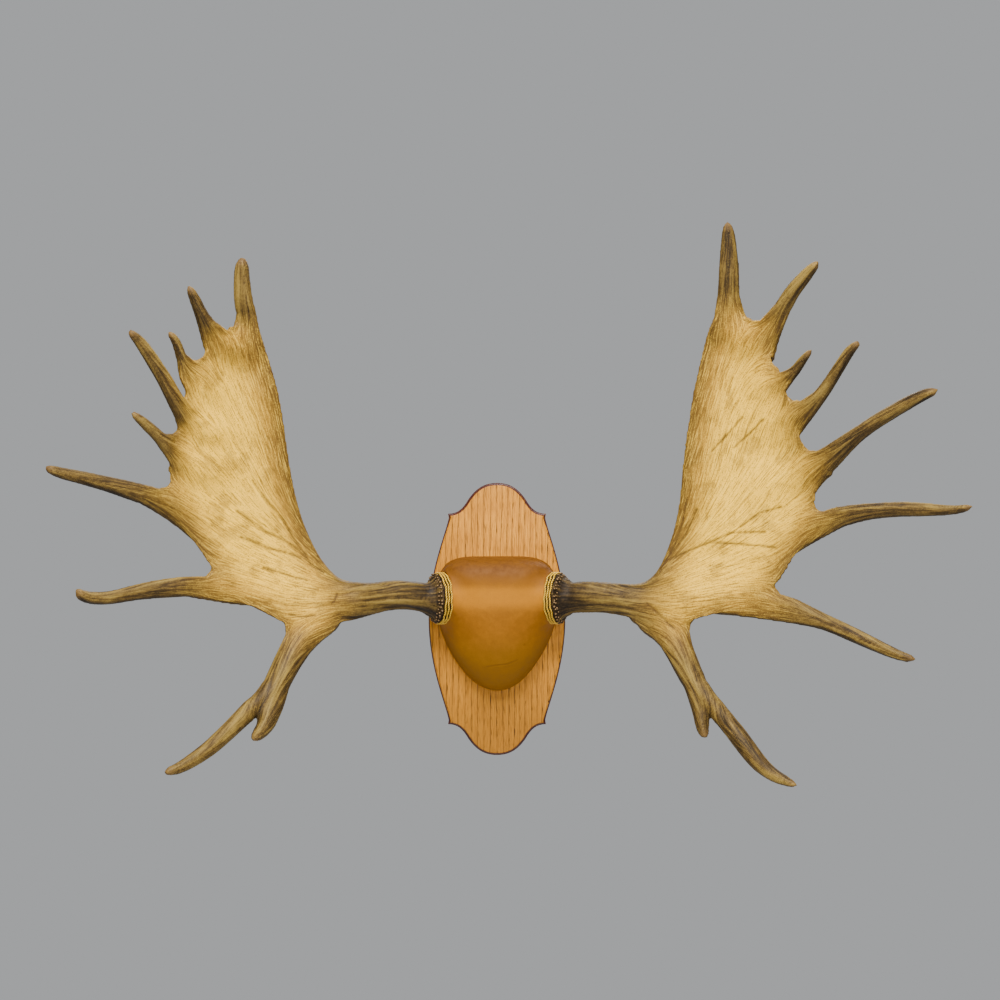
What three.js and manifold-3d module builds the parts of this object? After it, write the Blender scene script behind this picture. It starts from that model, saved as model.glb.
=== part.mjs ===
// A pair of moose antlers on a wall plaque: two palmate antlers grow out of a bone
// skull plate, which is screwed to a routed oak plaque from behind and covered with
// a stretched leather cap. A band of three braided cords hides the edge of the
// leather round each burr. A keyhole plate let into the back hangs it on the wall.
//
// Units are millimetres. +Z is up, the back of the plaque lies in the plane Y = 0
// with its middle at the origin, and the front faces -Y. In the tables below a point
// is written as x, z and its distance forward from the wall, which is -Y.

import * as THREE from 'three';
import * as BufferGeometryUtils from 'three/addons/utils/BufferGeometryUtils.js';
import Module from 'manifold-3d';

const wasm = await Module();
wasm.setup();

// ---------------------------------------------------------------- driving sizes

const GAP = 0.3;
const OVERSHOOT = 1;

const PLAQUE = { thickness: 19, routedInset: 5, routedDepth: 7, edgeSteps: 3 };

// The cap's crown is where its dome is highest. The fuller a side, the squarer it is.
const CAP = {
  crownX: 2,
  crownZ: 36,
  crownForward: 90,
  sideFullness: 3.4,
  lowerFullness: 2.0,
  lowerBlend: 60,
  firstRing: 0.3,
};

// Outlines in x and z from the top: rows of two handles and an end, or of an end alone.
// A quarter of the plaque: its crest, the cove, the small step and the long side.
const PLAQUE_EDGE = [
  [0, 203],
  [20, 203, 32, 194, 43, 178],
  [51, 164, 59, 157, 73, 157],
  [72, 151],
  [76, 128, 102, 72, 102, 0],
];

// Half of the leather cap's edge.
const CAP_EDGE = [
  [0, 94],
  [42, 94, 62, 93, 74, 84],
  [86, 74, 91, 55, 91, 30],
  [91, -2, 80, -32, 62, -60],
  [46, -86, 24, -106, 0, -106],
];

// The skull plate is bedded in filler that fills the leather, a little under it.
const LEATHER_SHARE = 0.935;
const FORM_SHARE = 0.93;
const LEATHER_SIDES = 24;
const LEATHER_RINGS = 5;
const FORM_SIDES = 14;
const FORM_RINGS = 4;

const BURR = {
  height: 34,
  forward: 64,
  tilt: THREE.MathUtils.degToRad(22),
};

// The flared foot of the antler: radius and distance from its flat face.
const BURR_FLARE = [[36, 0], [35, 2], [28, 5.5], [23, 11], [20, 22]];

// Lengths on the burr's axis, back into the cap from the burr's flat face.
const COLLAR = { length: 13, rootLength: 28, outerRadius: 35, boreRadius: 26.3 };
const PEDICLE = { radius: 26, length: 44 };
const CLEAR_OF_CAP = 60;

// Neighbouring cords of the braid meet at `valleyTurn` radians on their sections.
const BRAID = { cords: 3, cordDiameter: 4.2, innerRadius: 35.3, valleyTurn: 0.8 };

const HANGER = { x: 0, z: 150, width: 20, height: 52, thickness: 1.6 };
const KEYHOLE = { holeRadius: 5, holeDrop: 6, slotWidth: 4.8, slotHeight: 14 };
const KEYHOLE_POCKET = { depth: 9, clearance: 2.5 };
const HANGER_SCREW = { headRadius: 3.2, headDepth: 2, shankRadius: 1.4, length: 13 };
const HANGER_SCREW_OFFSET = 20;
const FIXING_SCREW = { headRadius: 4.4, headDepth: 3.2, shankRadius: 2.2, length: 44 };
const FIXING_PLACES = [[-30, 42], [30, 42], [0, -24]];
// A block behind the wall plane that trims the plaque's back flat.
const BEHIND = { width: 300, depth: 40, height: 500 };
const SCREW_POINT = 4;
const SCREW_HEAD_EDGE = 0.4;
const SCREW_SIDES = 8;

// Rods, bores and braids share their number of sides, so their gaps stay even.
const ROUND_SIDES = 18;

// ------------------------------------------------------------------ the antlers

// Beam: x, z, forward and diameter, from the burr outwards.
// Palm: the inner edge point, the outer edge point and the thickness between them.
// Branch and tines: x, z, forward and width, from the root in the palm to the tip.
// A tine is a node of its own from `fork` on, counted in stations from the root.
const ANTLERS = {
  left: {
    side: -1,
    burrX: -88.5,
    beam: [
      [-103, 35, 70, 42],
      [-120, 38, 77, 41],
      [-140, 40, 85, 41],
      [-166, 38, 95, 42],
      [-191, 34, 106, 46],
      [-213, 33, 115, 57],
    ],
    palm: [
      [-228, 66, 121, -230, 2, 121, 36],
      [-242, 82, 125, -264, -10, 137, 31],
      [-256, 104, 130, -302, 7, 154, 25],
      [-269, 133, 135, -356, 36, 178, 20],
      [-281, 170, 144, -396, 86, 196, 16],
      [-289, 217, 156, -414, 132, 206, 14],
      [-294, 261, 167, -458, 186, 224, 13],
      [-299, 304, 178, -433, 245, 229, 12],
      [-306, 343, 190, -427, 311, 236, 12],
      [-315, 376, 199, -409, 362, 238, 11],
      [-327, 416, 210, -364, 411, 226, 10],
    ],
    branch: [
      [-222, 34, 118, 44],
      [-250, 14, 128, 60],
      [-273, -15, 142, 46],
      [-292, -49, 161, 38],
      [-311, -89, 183, 35],
      [-325, -101, 196, 32],
    ],
    prongs: {
      long: [
        [-311, -85, 181, 33],
        [-325, -101, 194, 28],
        [-340, -112, 206, 25],
        [-361, -133, 228, 22],
        [-386, -156, 256, 20],
        [-416, -175, 285, 15],
        [-435, -180, 300, 8],
      ],
      short: [
        [-302, -72, 172, 33],
        [-310, -107, 190, 30],
        [-318, -132, 207, 23],
        [-332, -149, 221, 12],
      ],
    },
    tines: [
      { fork: 1.3, path: [
        [-345, 384, 203, 50], [-341, 426, 215, 29], [-344, 449, 225, 25], [-345, 485, 234, 20],
        [-343, 504, 239, 15],
      ] },
      { fork: 1.7, path: [
        [-362, 366, 210, 66], [-383, 400, 234, 37], [-394, 420, 246, 20], [-404, 447, 259, 14],
        [-411, 462, 267, 7],
      ] },
      { fork: 2.1, path: [
        [-389, 317, 214, 55], [-416, 342, 238, 23], [-422, 363, 248, 14], [-429, 389, 259, 11],
        [-437, 401, 267, 6],
      ] },
      { fork: 2, path: [
        [-398, 253, 207, 60], [-427, 300, 238, 25], [-444, 337, 257, 19], [-468, 381, 282, 15],
        [-483, 400, 296, 8],
      ] },
      { fork: 1.6, path: [
        [-392, 202, 195, 58], [-436, 238, 231, 27], [-450, 258, 244, 17], [-472, 282, 263, 12],
        [-484, 293, 274, 6],
      ] },
      { fork: 2.1, path: [
        [-368, 104, 175, 46], [-426, 158, 207, 43], [-471, 183, 240, 28], [-527, 201, 275, 19],
        [-571, 213, 306, 14], [-587, 220, 317, 8],
      ] },
      { fork: 2.1, path: [
        [-299, 48, 144, 42], [-357, 52, 172, 42], [-420, 59, 209, 28], [-474, 55, 238, 22],
        [-516, 47, 263, 17], [-544, 49, 281, 15], [-554, 59, 289, 8],
      ] },
    ],
  },
  right: {
    side: 1,
    burrX: 92,
    beam: [
      [106, 35, 69, 42],
      [120, 37, 75, 43],
      [138, 38, 83, 43],
      [158, 37, 90, 43],
      [175, 35, 97, 44],
    ],
    palm: [
      [196, 57, 105, 198, 8, 106, 38],
      [221, 64, 113, 243, -7, 124, 31],
      [239, 93, 120, 279, 9, 139, 25],
      [252, 135, 126, 346, 33, 170, 20],
      [260, 178, 135, 388, 60, 187, 16],
      [262, 227, 145, 414, 124, 202, 14],
      [267, 273, 155, 458, 182, 220, 13],
      [272, 310, 163, 411, 247, 219, 12],
      [279, 351, 173, 406, 293, 222, 12],
      [286, 385, 182, 388, 341, 222, 11],
      [292, 410, 189, 366, 385, 219, 11],
      [299, 428, 196, 347, 421, 214, 10],
    ],
    branch: [
      [198, 36, 107, 44],
      [226, 14, 112, 58],
      [247, -9, 122, 51],
      [261, -42, 140, 38],
      [282, -89, 165, 33],
      [293, -103, 176, 30],
    ],
    prongs: {
      long: [
        [282, -86, 164, 31],
        [293, -101, 175, 28],
        [304, -112, 185, 25],
        [326, -140, 211, 25],
        [345, -166, 234, 24],
        [365, -187, 258, 18],
        [396, -200, 286, 7],
      ],
      short: [
        [274, -69, 155, 33],
        [283, -109, 173, 25],
        [285, -137, 186, 17],
        [288, -150, 195, 7],
      ],
    },
    tines: [
      { fork: 1.2, path: [
        [323, 405, 194, 61], [318, 452, 204, 32], [317, 491, 216, 27], [315, 531, 224, 19],
        [313, 554, 229, 9],
      ] },
      { fork: 1.4, path: [
        [354, 381, 205, 60], [379, 424, 231, 27], [397, 457, 250, 20], [413, 478, 265, 16],
        [426, 493, 278, 8],
      ] },
      { fork: 1.5, path: [
        [365, 322, 199, 55], [393, 343, 225, 22], [404, 353, 234, 14], [414, 368, 245, 10],
        [423, 379, 253, 5],
      ] },
      { fork: 1.4, path: [
        [387, 271, 201, 56], [427, 307, 236, 23], [446, 334, 254, 16], [466, 371, 276, 13],
        [478, 386, 288, 7],
      ] },
      { fork: 1.6, path: [
        [379, 178, 181, 55], [435, 220, 221, 46], [466, 250, 246, 24], [504, 281, 274, 18],
        [548, 310, 309, 16], [571, 320, 326, 8],
      ] },
      { fork: 1.3, path: [
        [393, 116, 182, 46], [455, 150, 218, 32], [493, 161, 242, 22], [543, 165, 272, 19],
        [594, 164, 305, 12], [618, 169, 321, 6],
      ] },
      { fork: 2.2, path: [
        [289, 41, 135, 48], [334, 40, 158, 50], [399, 27, 192, 38], [439, 14, 215, 23],
        [483, -5, 242, 19], [527, -26, 279, 14], [550, -32, 296, 7],
      ] },
    ],
  },
};

// The branch is a node of its own between these two stations, and a prong from its
// fork to its tip.
const BRANCH_FORK = 2.4;
const BRANCH_END = 4.8;
const PRONG_FORKS = { long: 1.9, short: 1.75 };

// The middle of the palm is cupped towards the wall, and its edges are blunt.
const PALM_CUP = 15;
const PALM_FLATNESS = 6;
const PALM_BLUNTNESS = 0.5;
const PALM_SIDES = 16;
const PALM_STEPS = 14;
const BRANCH_SIDES = 10;
const BRANCH_STEPS = 4;
const TINE_SIDES = 9;
const TINE_STEPS = 6;
const ROOT_STEPS = 2;
const TIP_ROUNDING = 0.9;
const TIP_CROWDING = 1.5;
const SMALLEST_RING = 0.35;

// Tines are nearly round, and their flared roots are no thicker than the palm's rim.
const TINE_ROUNDNESS = 0.9;
const ROOT_THICKNESS = 17.5;
const ROOT_THINNING = 0.09;
// The brow branch stays thicker than the tines where it is wide.
const BRANCH_THICKNESS = 30;

// -------------------------------------------------------------- geometry helpers

const point = (x, z, forward) => new THREE.Vector3(x, -forward, z);

// A manifold-3d solid from a closed three.js geometry.
function solid(geometry) {
  const bare = geometry.index ? geometry.toNonIndexed() : geometry.clone();
  bare.deleteAttribute('normal');
  bare.deleteAttribute('uv');
  const merged = BufferGeometryUtils.mergeVertices(bare, 1e-4);
  return new wasm.Manifold(new wasm.Mesh({
    numProp: 3,
    vertProperties: Float32Array.from(merged.attributes.position.array),
    triVerts: Uint32Array.from(merged.index.array),
  }));
}

function joined(parts) {
  return parts.reduce((whole, part) => whole.add(part));
}

function geometryOf(manifold) {
  const mesh = manifold.getMesh();
  const geometry = new THREE.BufferGeometry();
  geometry.setAttribute('position', new THREE.BufferAttribute(mesh.vertProperties, 3));
  geometry.setIndex(new THREE.BufferAttribute(mesh.triVerts, 1));
  geometry.computeVertexNormals();
  return geometry;
}

// A smooth run of values through the columns `from`, `from + 1` and `from + 2` of a table.
function curveThrough(rows, from = 0) {
  const points = rows.map((row) => point(row[from], row[from + 1], row[from + 2]));
  return new THREE.CatmullRomCurve3(points, false, 'catmullrom', 0.5);
}

function valuesThrough(rows, column) {
  const points = rows.map((row, i) => new THREE.Vector3(row[column], i, 0));
  return new THREE.CatmullRomCurve3(points, false, 'catmullrom', 0.5);
}

// A cylinder whose rows are moved onto the frames of a sweep. A frame has a centre,
// a vector `across` to the edge, a vector `through` to the face, and a cup that
// moves its middle back towards the wall. A fullness below 1 makes a flatter section.
function swept(frames, sides) {
  const steps = frames.length - 1;
  const geometry = new THREE.CylinderGeometry(1, 1, 1, sides, steps);
  const position = geometry.attributes.position;
  const moved = new THREE.Vector3();
  for (let i = 0; i < position.count; i += 1) {
    const c = position.getX(i);
    const s = position.getZ(i);
    const frame = frames[Math.round((0.5 - position.getY(i)) * steps)];
    const face = Math.sign(s) * Math.abs(s) ** frame.fullness;
    moved.copy(frame.centre);
    moved.addScaledVector(frame.across, c);
    moved.addScaledVector(frame.through, Math.abs(s) < 1e-6 ? 0 : face);
    moved.y += frame.cup * (1 - c * c);
    position.setXYZ(i, moved.x, moved.y, moved.z);
  }
  return geometry;
}

// A solid of revolution round +Y, from rows of radius and height.
function turned(rows, sides) {
  return new THREE.LatheGeometry(rows.map((row) => new THREE.Vector2(...row)), sides);
}

function edgeThrough([start, ...rows]) {
  const edge = new THREE.Path();
  edge.moveTo(...start);
  rows.forEach((row) => {
    if (row.length === 2) {
      edge.lineTo(...row);
    } else {
      edge.bezierCurveTo(...row);
    }
  });
  return edge;
}

function frameOf(centre, tangent, across, halfWidth, halfThickness, fullness = 1, cup = 0) {
  const through = new THREE.Vector3().crossVectors(tangent, across).normalize();
  return {
    centre,
    across: across.clone().normalize().multiplyScalar(halfWidth),
    through: through.multiplyScalar(halfThickness),
    fullness,
    cup,
  };
}

// Beam and palm in one sweep: the beam's upper side runs on as the palm's inner edge.
function beamAndPalm({ beam, palm }) {
  const rows = beam.map(([x, z, forward, d]) => [
    x, z + d / 2, forward, x, z - d / 2, forward, d,
  ]).concat(palm);
  const inner = curveThrough(rows, 0);
  const outer = curveThrough(rows, 3);
  const thickness = valuesThrough(rows, 6);
  const middle = (t) => inner.getPoint(t).add(outer.getPoint(t)).multiplyScalar(0.5);
  const frames = [];
  for (let i = 0; i <= PALM_STEPS; i += 1) {
    const t = i / PALM_STEPS;
    const near = THREE.MathUtils.clamp(t, 0.01, 0.99);
    const tangent = middle(near + 0.01).sub(middle(near - 0.01));
    const across = inner.getPoint(t).sub(outer.getPoint(t));
    const halfWidth = across.length() / 2;
    const halfThickness = thickness.getPoint(t).x / 2;
    const flatness = THREE.MathUtils.smoothstep(halfWidth / halfThickness, 1, PALM_FLATNESS);
    const fullness = 1 - PALM_BLUNTNESS * flatness;
    frames.push(frameOf(
      middle(t), tangent, across, halfWidth, halfThickness, fullness, PALM_CUP * flatness,
    ));
  }
  return solid(swept(frames, PALM_SIDES));
}

// The flared base of the antler, round its own axis, with its flat face on the collar.
function burr(antler) {
  const end = BURR_FLARE[BURR_FLARE.length - 1][1];
  return onBurrAxis(antler, turned([[0, 0], ...BURR_FLARE, [0, end]], ROUND_SIDES), 0);
}

function tineThickness(width) {
  return Math.min(TINE_ROUNDNESS * width, ROOT_THICKNESS - ROOT_THINNING * width);
}

function branchThickness(width) {
  return Math.min(TINE_ROUNDNESS * width, BRANCH_THICKNESS);
}

// Part of a tine, between two places counted in stations from its root.
function tapered(path, from, to, steps, sides, thicknessOf) {
  const last = path.length - 1;
  const centreline = curveThrough(path);
  const width = valuesThrough(path, 3);
  const tip = centreline.getPoint(1);
  const tipRadius = path[last][3] * TIP_ROUNDING;
  const frames = [];
  for (let i = 0; i <= steps; i += 1) {
    const share = to === last ? 1 - (1 - i / steps) ** TIP_CROWDING : i / steps;
    const t = (from + (to - from) * share) / last;
    const centre = centreline.getPoint(t);
    const tangent = centreline.getTangent(t);
    const across = new THREE.Vector3(0, -1, 0).cross(tangent);
    const left = Math.min(centre.distanceTo(tip) / tipRadius, 1);
    const rounding = Math.max(Math.sqrt(1 - (1 - left) ** 2), SMALLEST_RING);
    const w = width.getPoint(t).x * rounding;
    frames.push(frameOf(centre, tangent, across, w / 2, thicknessOf(w) / 2));
  }
  return solid(swept(frames, sides));
}

// ------------------------------------------------------------- on the burr's axis

function burrAxis({ side }) {
  return new THREE.Vector3(side * Math.cos(BURR.tilt), -Math.sin(BURR.tilt), 0);
}

// Turns a geometry made round +Y onto the antler's axis, `along` from the burr's face.
function onBurrAxis(antler, geometry, along) {
  const axis = burrAxis(antler);
  const turn = new THREE.Quaternion().setFromUnitVectors(new THREE.Vector3(0, 1, 0), axis);
  const place = point(antler.burrX, BURR.height, BURR.forward).addScaledVector(axis, along);
  const moved = geometry.clone();
  moved.applyQuaternion(turn);
  moved.translate(place.x, place.y, place.z);
  return solid(moved);
}

function rodOnAxis(antler, radius, from, to) {
  const rod = new THREE.CylinderGeometry(radius, radius, to - from, ROUND_SIDES);
  return onBurrAxis(antler, rod, (from + to) / 2);
}

// ------------------------------------------------------------------- plaque

function plaqueOutline() {
  const quarter = edgeThrough(PLAQUE_EDGE).getPoints(PLAQUE.edgeSteps).slice(1);
  const upperHalf = quarter.map(({ x, y }) => new THREE.Vector2(-x, y)).reverse();
  const [crestX, crestZ] = PLAQUE_EDGE[0];
  upperHalf.push(new THREE.Vector2(crestX, crestZ), ...quarter);
  const lowerHalf = upperHalf.slice(1, -1).reverse();
  return new THREE.Shape([...upperHalf, ...lowerHalf.map(({ x, y }) => new THREE.Vector2(x, -y))]);
}

// Extrudes an outline drawn in X and Z towards the viewer, from `back` off the wall.
function boardSolid(outline, back, options) {
  const geometry = new THREE.ExtrudeGeometry(outline, options);
  geometry.rotateX(Math.PI / 2);
  geometry.translate(0, -back, 0);
  return solid(geometry);
}

function box(width, depth, height, x, forward, z) {
  const geometry = new THREE.BoxGeometry(width, depth, height);
  geometry.translate(x, -forward, z);
  return solid(geometry);
}

// A round rod that points forward, its back end `back` off the wall.
function forwardRod(radius, back, front, x, z) {
  const geometry = new THREE.CylinderGeometry(radius, radius, front - back, ROUND_SIDES);
  geometry.translate(x, -(back + front) / 2, z);
  return solid(geometry);
}

// A countersunk screw driven from the back, or its hole with a clearance all round.
function screw({ headRadius, headDepth, shankRadius, length }, x, z, clearance = 0) {
  const head = headRadius + clearance;
  const shank = shankRadius + clearance;
  const tip = length + clearance;
  const start = clearance > 0 ? -OVERSHOOT : 0;
  const geometry = turned([
    [0, start], [head, start], [head, SCREW_HEAD_EDGE], [shank, headDepth],
    [shank, tip - SCREW_POINT], [0, tip],
  ], SCREW_SIDES);
  geometry.rotateX(Math.PI);
  geometry.translate(x, 0, z);
  return solid(geometry);
}

// A block on the hanger plate's middle, from `back` to `front` off the wall.
function plateBlock(back, front, clearance) {
  const { x, z, width, height } = HANGER;
  return box(
    width + 2 * clearance, front - back, height + 2 * clearance, x, (back + front) / 2, z,
  );
}

function keyhole(back, front, clearance) {
  const { holeRadius, holeDrop, slotWidth, slotHeight } = KEYHOLE;
  const holeZ = HANGER.z - holeDrop;
  const hole = forwardRod(holeRadius + clearance, back, front, HANGER.x, holeZ);
  const slot = box(
    slotWidth + 2 * clearance, front - back, slotHeight,
    HANGER.x, (back + front) / 2, holeZ + slotHeight / 2,
  );
  return hole.add(slot);
}

function hangerScrewPlaces() {
  return [1, -1].map((end) => [HANGER.x, HANGER.z + end * HANGER_SCREW_OFFSET]);
}

function plaque() {
  const { thickness, routedInset, routedDepth } = PLAQUE;
  const bevelled = boardSolid(plaqueOutline(), -OVERSHOOT, {
    depth: thickness - routedDepth + OVERSHOOT,
    bevelThickness: routedDepth,
    bevelSize: routedInset,
    bevelOffset: -routedInset,
    bevelSegments: 2,
  });
  const behind = box(BEHIND.width, BEHIND.depth, BEHIND.height, 0, -BEHIND.depth / 2, 0);
  let wood = bevelled.subtract(behind);
  wood = wood.subtract(plateBlock(-OVERSHOOT, HANGER.thickness + GAP, GAP));
  wood = wood.subtract(keyhole(0, KEYHOLE_POCKET.depth, KEYHOLE_POCKET.clearance));
  hangerScrewPlaces().forEach(([x, z]) => {
    wood = wood.subtract(screw(HANGER_SCREW, x, z, GAP));
  });
  FIXING_PLACES.forEach(([x, z]) => {
    wood = wood.subtract(screw(FIXING_SCREW, x, z, GAP));
  });
  return wood;
}

function hangerPlate() {
  const { thickness } = HANGER;
  let plate = plateBlock(0, thickness, 0).subtract(keyhole(-OVERSHOOT, thickness + OVERSHOOT, 0));
  hangerScrewPlaces().forEach(([x, z]) => {
    plate = plate.subtract(screw(HANGER_SCREW, x, z, GAP));
  });
  return plate;
}

// ------------------------------------------------------- leather cap and skull

// The cap's edge on the plaque, as a loop of points round the crown.
function capRim(sides) {
  const half = edgeThrough(CAP_EDGE).getSpacedPoints(sides / 2);
  const mirrored = half.slice(1, -1).reverse().map(({ x, y }) => new THREE.Vector2(-x, y));
  return [...half, ...mirrored];
}

// A dome over the cap's rim, shrunk about its crown by `share`.
function dome(share, sides, rings) {
  const rim = capRim(sides);
  const crown = point(CAP.crownX, CAP.crownZ, 0);
  const geometry = new THREE.CylinderGeometry(1, 1, 1, sides, rings);
  const position = geometry.attributes.position;
  const height = (CAP.crownForward - PLAQUE.thickness) * share;
  for (let i = 0; i < position.count; i += 1) {
    const inMiddle = Math.hypot(position.getX(i), position.getZ(i)) < 0.5;
    const row = Math.round((0.5 - position.getY(i)) * rings);
    const turn = Math.atan2(position.getX(i), position.getZ(i)) / (2 * Math.PI);
    const edge = rim[Math.round((1 - turn) * sides) % sides];
    const lean = Math.max(row, CAP.firstRing) / rings * Math.PI / 2;
    const r = inMiddle ? 0 : Math.sin(lean);
    const dx = (edge.x - crown.x) * r * share;
    const dz = (edge.y - crown.z) * r * share;
    const down = THREE.MathUtils.smoothstep(-dz, 0, CAP.lowerBlend);
    const fullness = THREE.MathUtils.lerp(CAP.sideFullness, CAP.lowerFullness, down);
    const rise = row === rings ? 0 : Math.max(1 - r ** fullness, 0) ** (1 / fullness);
    position.setXYZ(i, crown.x + dx, -(PLAQUE.thickness + GAP + height * rise), crown.z + dz);
  }
  return solid(geometry);
}

function leatherCap(antlers) {
  const { length, rootLength, outerRadius, boreRadius } = COLLAR;
  const seatRadius = BRAID.innerRadius + BRAID.cordDiameter + GAP;
  let cap = dome(1, LEATHER_SIDES, LEATHER_RINGS);
  antlers.forEach((antler) => {
    cap = cap.subtract(rodOnAxis(antler, seatRadius, -length - GAP, CLEAR_OF_CAP));
    cap = cap.add(rodOnAxis(antler, outerRadius, -rootLength, -GAP));
  });
  cap = cap.subtract(dome(LEATHER_SHARE, FORM_SIDES, FORM_RINGS));
  antlers.forEach((antler) => {
    cap = cap.subtract(rodOnAxis(antler, boreRadius, -CLEAR_OF_CAP, OVERSHOOT));
  });
  return cap;
}

function skullPlate(antlers) {
  let skull = dome(FORM_SHARE, FORM_SIDES, FORM_RINGS);
  antlers.forEach((antler) => {
    skull = skull.add(rodOnAxis(antler, PEDICLE.radius, -PEDICLE.length, -GAP));
  });
  FIXING_PLACES.forEach(([x, z]) => {
    skull = skull.subtract(screw(FIXING_SCREW, x, z, GAP));
  });
  return skull;
}

// Three cords side by side round the collar, as one closed band.
function braid(antler) {
  const { cords, cordDiameter, innerRadius, valleyTurn } = BRAID;
  const cordRadius = cordDiameter / 2;
  const width = cords * cordDiameter;
  const profile = [[innerRadius, 0]];
  for (let i = 0; i < cords; i += 1) {
    [-valleyTurn, valleyTurn].forEach((turn) => {
      profile.push([
        innerRadius + cordRadius * (1 + Math.cos(turn)),
        cordRadius * (2 * i + 1 + Math.sin(turn)),
      ]);
    });
  }
  profile.push([innerRadius, width], [innerRadius, 0]);
  return onBurrAxis(antler, turned(profile, ROUND_SIDES), -GAP - width);
}

// ------------------------------------------------------------------- assembly

const FINISH = {
  antler: { color: 0xb79a68, roughness: 0.6, metalness: 0 },
  beam: { color: 0x8a6f48, roughness: 0.6, metalness: 0 },
  bone: { color: 0xd8cbb0, roughness: 0.8, metalness: 0 },
  leather: { color: 0xa96a22, roughness: 0.55, metalness: 0 },
  braid: { color: 0xd8bb62, roughness: 0.45, metalness: 0 },
  oak: { color: 0xc89a5c, roughness: 0.5, metalness: 0 },
  steel: { color: 0xb9b9b4, roughness: 0.35, metalness: 1 },
  brass: { color: 0xb08d4a, roughness: 0.4, metalness: 1 },
};

const mount = new THREE.Group();

function addPiece(name, manifold, finish) {
  const mesh = new THREE.Mesh(geometryOf(manifold), new THREE.MeshStandardMaterial(FINISH[finish]));
  mesh.name = name;
  mount.add(mesh);
}

// Where a piece starts past a fork, in stations, to leave the gap.
function pastGap(path, fork) {
  const from = point(...path[Math.floor(fork)]);
  const to = point(...path[Math.floor(fork) + 1]);
  return fork + GAP / from.distanceTo(to);
}

// Splits a tine or a prong at its fork: the root stays with the piece it grows from.
function split(path, fork, thicknessOf) {
  return {
    root: tapered(path, 0, fork, ROOT_STEPS, TINE_SIDES, thicknessOf),
    tip: tapered(
      path, pastGap(path, fork), path.length - 1, TINE_STEPS, TINE_SIDES, thicknessOf,
    ),
  };
}

function addAntler(name, antler) {
  const { branch, prongs, tines } = antler;
  const core = [
    burr(antler),
    beamAndPalm(antler),
    tapered(branch, 0, BRANCH_FORK, BRANCH_STEPS, BRANCH_SIDES, branchThickness),
  ];
  tines.forEach(({ fork, path }, i) => {
    const { root, tip } = split(path, fork, tineThickness);
    core.push(root);
    addPiece(`${name}_tine_${i + 1}`, tip, 'antler');
  });
  addPiece(`${name}_beam_and_palm`, joined(core), 'beam');

  const fromBranch = pastGap(branch, BRANCH_FORK);
  const brow = [
    tapered(branch, fromBranch, BRANCH_END, BRANCH_STEPS, BRANCH_SIDES, branchThickness),
  ];
  Object.entries(prongs).forEach(([kind, path]) => {
    const { root, tip } = split(path, PRONG_FORKS[kind], branchThickness);
    brow.push(root);
    addPiece(`${name}_brow_prong_${kind}`, tip, 'antler');
  });
  addPiece(`${name}_brow_branch`, joined(brow), 'antler');
}

const antlers = Object.values(ANTLERS);
addPiece('oak_plaque', plaque(), 'oak');
addPiece('skull_plate', skullPlate(antlers), 'bone');
addPiece('leather_cap', leatherCap(antlers), 'leather');
addPiece('keyhole_plate', hangerPlate(), 'brass');
hangerScrewPlaces().forEach(([x, z], i) => {
  addPiece(`hanger_screw_${i + 1}`, screw(HANGER_SCREW, x, z), 'brass');
});
FIXING_PLACES.forEach(([x, z], i) => {
  addPiece(`fixing_screw_${i + 1}`, screw(FIXING_SCREW, x, z), 'steel');
});
Object.entries(ANTLERS).forEach(([name, antler]) => {
  addPiece(`${name}_braid`, braid(antler), 'braid');
  addAntler(name, antler);
});

export default mount;
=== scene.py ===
# %% [markdown]
# # A pair of moose antlers on a wall plaque
#
# Two palmate antlers grow from a skull plate that is hidden under a cap of caramel
# leather. A band of gold cord closes the leather round each burr, and the whole thing
# is screwed to a shaped oak plaque that hangs from a keyhole plate.
#
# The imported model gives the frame: every piece at its real size and place. This script
# keeps to that frame and makes the surfaces. All lengths are in metres, +Z is up, the
# wall is the plane Y = 0 and the front faces -Y.

# %% Load the frame
import math
from itertools import product
from random import Random

import bmesh
import bpy
import numpy as np
from mathutils import Matrix, Vector
from mathutils.geometry import interpolate_bezier


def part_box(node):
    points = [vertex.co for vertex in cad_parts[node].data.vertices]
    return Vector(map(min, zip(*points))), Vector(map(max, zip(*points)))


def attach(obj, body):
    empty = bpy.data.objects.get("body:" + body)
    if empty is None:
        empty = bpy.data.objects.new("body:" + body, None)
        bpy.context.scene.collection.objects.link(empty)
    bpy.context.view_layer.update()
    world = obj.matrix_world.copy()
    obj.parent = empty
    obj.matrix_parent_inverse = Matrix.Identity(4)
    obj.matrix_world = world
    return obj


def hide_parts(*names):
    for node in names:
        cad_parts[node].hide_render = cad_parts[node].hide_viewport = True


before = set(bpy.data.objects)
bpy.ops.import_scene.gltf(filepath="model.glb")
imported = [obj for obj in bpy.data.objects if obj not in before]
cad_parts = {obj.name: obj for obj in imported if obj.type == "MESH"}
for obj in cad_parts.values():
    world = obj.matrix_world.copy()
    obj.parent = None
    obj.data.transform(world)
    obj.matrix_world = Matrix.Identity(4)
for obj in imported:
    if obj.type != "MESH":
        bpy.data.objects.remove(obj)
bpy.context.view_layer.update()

MM = 0.001
print("CAD nodes:", len(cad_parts))


def linked(name, data):
    """A new object in the scene that shows this data."""
    made = bpy.data.objects.new(name, data)
    bpy.context.scene.collection.objects.link(made)
    return made


# %% [markdown]
# ## The camera
#
# The mount is seen from straight in front, from a little way above its middle and far
# enough back that the tines, which reach forward, aren't much enlarged. A short
# telephoto lens at 2.4 m gives that view.

# %% Camera
CAMERA_PLACE = Vector((4.5, -2400, 177.5)) * MM
FOCAL_SHARE = 1.6  # focal length as a share of the sensor's width

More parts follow.
